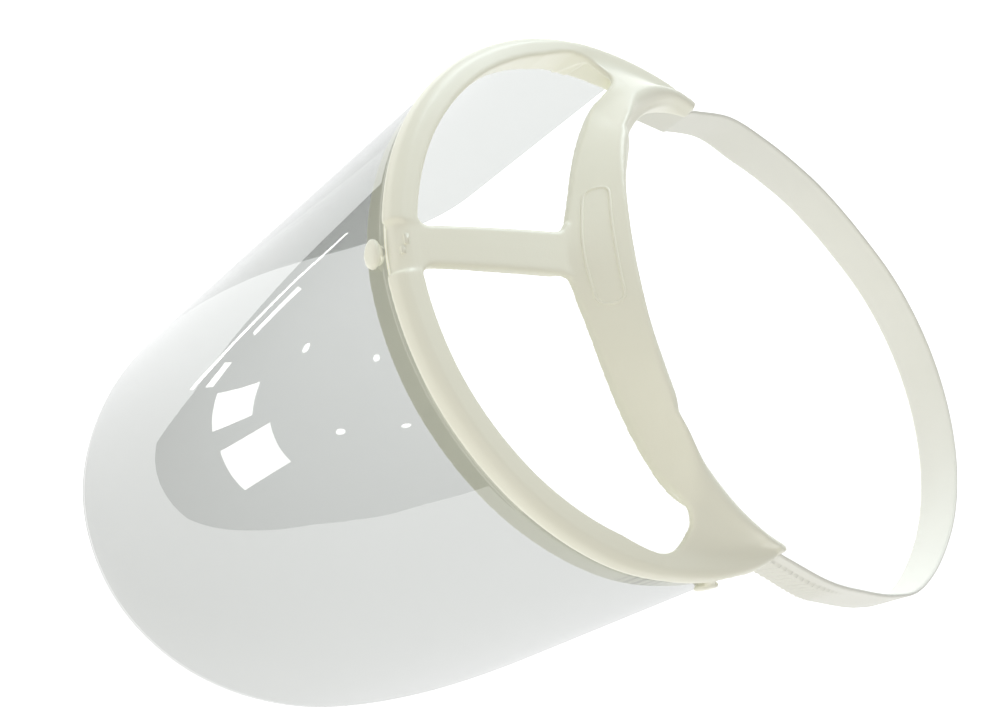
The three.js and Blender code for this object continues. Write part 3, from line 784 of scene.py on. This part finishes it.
def clear_film():
    """Thin clear sheet: a pale grey tint, a mirror gloss by Fresnel and a faint haze."""
    m = bpy.data.materials.new("film_material")
    m.use_nodes = True
    tree = m.node_tree
    tree.nodes.clear()
    link = tree.links.new
    out = node(tree, "ShaderNodeOutputMaterial")
    coord = node(tree, "ShaderNodeTexCoord")
    clear = node(tree, "ShaderNodeBsdfTransparent", Color=(0.745, 0.752, 0.742, 1))
    gloss = node(tree, "ShaderNodeBsdfGlossy")
    haze = node(tree, "ShaderNodeBsdfDiffuse", Color=(0.75, 0.78, 0.76, 1))
    cloud = node(tree, "ShaderNodeTexNoise", Scale=14.0, Detail=5.0)
    ripple = node(tree, "ShaderNodeTexNoise", Scale=16.0, Detail=1.0)
    scuff = node(tree, "ShaderNodeTexNoise", Scale=340.0, Detail=3.0)
    for n in (cloud, ripple, scuff):
        link(coord.outputs["Object"], n.inputs["Vector"])
    amount = map_range(tree, cloud.outputs["Fac"], 0.015, 0.05)
    rough = map_range(tree, scuff.outputs["Fac"], 0.006, 0.03)
    link(rough.outputs["Result"], gloss.inputs["Roughness"])
    bump = node(tree, "ShaderNodeBump", Strength=0.12, Distance=0.002)
    link(ripple.outputs["Fac"], bump.inputs["Height"])
    link(bump.outputs["Normal"], gloss.inputs["Normal"])
    fresnel = node(tree, "ShaderNodeFresnel", IOR=1.9)
    facing = node(tree, "ShaderNodeNewGeometry")
    front = node(tree, "ShaderNodeMath", operation="SUBTRACT")
    front.inputs[0].default_value = 1
    link(facing.outputs["Backfacing"], front.inputs[1])
    mirror = node(tree, "ShaderNodeMath", operation="MULTIPLY")
    link(fresnel.outputs[0], mirror.inputs[0])
    link(front.outputs[0], mirror.inputs[1])
    first = node(tree, "ShaderNodeMixShader")
    second = node(tree, "ShaderNodeMixShader")
    link(amount.outputs["Result"], first.inputs["Fac"])
    link(clear.outputs[0], first.inputs[1])
    link(haze.outputs[0], first.inputs[2])
    link(mirror.outputs[0], second.inputs["Fac"])
    link(first.outputs[0], second.inputs[1])
    link(gloss.outputs[0], second.inputs[2])
    link(second.outputs[0], out.inputs["Surface"])
    return m


# ------------------------------------------------------------------ the pieces, dressed


def dress(o, m, body, slot, *nodes):
    """Give the piece its material and body, and let it stand for its CAD nodes; the slot is not used."""
    o.data.materials.clear()
    o.data.materials.append(m)
    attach(o, body)
    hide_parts(*nodes)


THIN_WALL_TOP = -1.5             # z
THIN_WALL_END_Y = -20
THIN_WALL_GAP = (1.6, 2.8)       # distance of its film side inside the lip
HEAD_MIDDLE_Y = -40


def mark_thin_wall(o, m):
    """The thin wall behind the film lets light through, so its film side gets a brighter copy."""
    o.data.materials.append(m)
    route = lip.p[::6]
    for poly in o.data.polygons:
        x, y, z = poly.center / MM
        if z > THIN_WALL_TOP or y > THIN_WALL_END_Y:
            continue
        gaps = np.hypot(route[:, 0] - x, route[:, 1] - y)
        closest = route[gaps.argmin()]
        reach, limit = (math.hypot(px, py - HEAD_MIDDLE_Y) for px, py in ((x, y), closest[:2]))
        if reach < limit and THIN_WALL_GAP[0] < gaps.min() < THIN_WALL_GAP[1]:
            poly.material_index = 1


frame_plastic = moulded_plastic("frame_material", *FRAME_COLOURS, 0.3)
strap_plastic = moulded_plastic("strap_material", *STRAP_COLOURS, 0.42, 0.05, 0.2)

moulding = frame_moulding()
dress(moulding, frame_plastic, "frame", "frame_plastic",
      "visor_rim", "brow_band", "centre_strut", "centre_stud", "temple_left", "temple_right",
      "side_stud_left", "side_stud_right", "strap_keeper_left", "strap_keeper_right")
mark_thin_wall(moulding, moulded_plastic("thin_wall_material", *FRAME_COLOURS, 0.3, 0.5))
dress(visor_film(), clear_film(), "frame", "film_clear", "visor_film")
dress(rear_strap(), strap_plastic, "strap", "strap_plastic", "rear_strap")
verts, faces = pawl()
dress(new_object("pawl_finger_left", verts, faces), frame_plastic, "pawl_left", "frame_plastic",
      "ratchet_pawl_left")
dress(new_object("pawl_finger_right", flip_x(verts), faces), frame_plastic, "pawl_right",
      "frame_plastic", "ratchet_pawl_right")

# ------------------------------------------------------------ camera, light, floor

CAMERA_PLACE = Vector((0.1474, -0.3039, 0.2540))
CAMERA_TARGET = Vector((0.0014, -0.0541, -0.0504))
CAMERA_ROLL = math.radians(-59.38)
CAMERA_LENS = 46.8               # on a sensor 36 mm wide


def add_camera():
    """The camera looks down at the shield from in front of it, rolled well over."""
    camera = bpy.data.objects.new("camera", bpy.data.cameras.new("camera"))
    bpy.context.scene.collection.objects.link(camera)
    camera.data.sensor_width = 36
    camera.data.lens = CAMERA_LENS
    camera.data.clip_start = 0.01
    ahead = (CAMERA_TARGET - CAMERA_PLACE).normalized()
    level = ahead.cross(Vector((0, 0, 1))).normalized()
    upright = level.cross(ahead)
    up = upright * math.cos(CAMERA_ROLL) + level * math.sin(CAMERA_ROLL)
    right = ahead.cross(up)
    camera.matrix_world = Matrix((
        (right.x, up.x, -ahead.x, CAMERA_PLACE.x),
        (right.y, up.y, -ahead.y, CAMERA_PLACE.y),
        (right.z, up.z, -ahead.z, CAMERA_PLACE.z),
        (0, 0, 0, 1),
    ))
    bpy.context.scene.camera = camera


def area(name, place, target, size, power, colour):
    """A rectangular soft light, aimed at the target."""
    data = bpy.data.lights.new(name, "AREA")
    data.shape, data.size, data.size_y = "RECTANGLE", size[0], size[1]
    data.energy, data.color = power, colour
    o = bpy.data.objects.new(name, data)
    bpy.context.scene.collection.objects.link(o)
    o.location = place
    o.rotation_euler = (Vector(target) - Vector(place)).to_track_quat("-Z", "Y").to_euler()


add_camera()
area("window_light", (-1.3, 0.25, 0.6), (-0.06, -0.08, 0), (0.8, 0.9), 12, (0.84, 0.93, 1.0))
area("ceiling_light", (-0.2, 0.3, 1.7), (0, 0, 0), (1.8, 1.8), 4, (1.0, 0.99, 0.97))
area("room_light", (1.0, -0.9, 0.9), (0, 0, 0), (1.4, 1.4), 7, (1.0, 0.95, 0.84))

world = bpy.data.worlds.new("studio")
world.use_nodes = True
world.node_tree.nodes["Background"].inputs["Color"].default_value = (0.98, 0.985, 1.0, 1)
world.node_tree.nodes["Background"].inputs["Strength"].default_value = 0.36
bpy.context.scene.world = world
bpy.context.scene.view_settings.view_transform = "Standard"

FLOOR_GLOW = (1.1, 0.85)         # strength on the window side and on the other
FLOOR_FADE = (-0.2, 0.08)        # x range, in metres, over which it changes
FLOOR_Z = min(cad_box[0][2], -0.2) - 0.0015
FLOOR_HALF = 3000                # millimetres


def add_floor():
    """A pale floor that glows a little, more towards the window side."""
    half = FLOOR_HALF
    floor = new_object("floor", [(-half, -half, 0), (half, -half, 0), (half, half, 0), (-half, half, 0)],
                       [(0, 1, 2, 3)])
    floor.location.z = FLOOR_Z
    m, tree, shader = material("floor_material", (0.5, 0.5, 0.5), 0.8)
    place = node(tree, "ShaderNodeTexCoord")
    axes = node(tree, "ShaderNodeSeparateXYZ")
    tree.links.new(place.outputs["Object"], axes.inputs[0])
    glow = map_range(tree, axes.outputs["X"], *FLOOR_GLOW)
    glow.interpolation_type = "SMOOTHSTEP"
    glow.inputs["From Min"].default_value, glow.inputs["From Max"].default_value = FLOOR_FADE
    tree.links.new(glow.outputs["Result"], shader.inputs["Emission Strength"])
    shader.inputs["Emission Color"].default_value = (1, 1, 1, 1)
    floor.data.materials.append(m)


def reflector(name, outline, lift, strength):
    """A flat studio card just above the floor, seen only as a reflection."""
    o = new_object(name, [(x, y, 0) for x, y in outline], [tuple(range(len(outline)))])
    o.location.z = FLOOR_Z + lift
    m, tree, shader = material(name + "_material", (0, 0, 0), 1)
    shader.inputs["Specular IOR Level"].default_value = 0
    shader.inputs["Emission Color"].default_value = (1, 1, 0.97, 1)
    shader.inputs["Emission Strength"].default_value = strength
    o.data.materials.append(m)
    o.visible_camera = o.visible_diffuse = o.visible_shadow = o.visible_transmission = False


# The room that the film mirrors: dark, with a bright window, its streaks and a few glints.
DARK_CARD = [(-420, -700), (420, -700), (420, -176), (120, -175), (40, -160), (-20, -156), (-50, -166),
             (-420, -176)]
BRIGHT_CARDS = [
    ("window_pane_a", [(-42, -184), (-33, -214), (-4, -210), (-9, -186)], 4.2),
    ("window_pane_b", [(10, -188), (13, -218), (60, -212), (52, -187)], 4.2),
    ("window_gleam_a", [(-128, -194), (-92, -183), (-88, -187), (-124, -201)], 4.0),
    ("window_gleam_b", [(-70, -176), (-52, -172), (-50, -178), (-68, -183)], 4.0),
    ("window_streak", [(-176, -197), (-53, -164), (-54, -161), (-176, -193)], 5.0),
]
GLINTS = ((-44, -243), (21, -284), (125, -256), (71, -241), (-175, -237))
GLINT_HALF = (5, 2.2)
CARD_LIFT = (0.003, 0.004)       # metres above the floor, dark card and bright cards

add_floor()
reflector("dark_card", DARK_CARD, CARD_LIFT[0], 0.0)
for name, outline, strength in BRIGHT_CARDS:
    reflector(name, outline, CARD_LIFT[1], strength)
for i, (x, y) in enumerate(GLINTS):
    oval = [(x + GLINT_HALF[0] * math.cos(a), y + GLINT_HALF[1] * math.sin(a))
            for a in np.linspace(0, 6.28, 12, endpoint=False)]
    reflector(f"glint_{i}", oval, CARD_LIFT[1], 5.0)
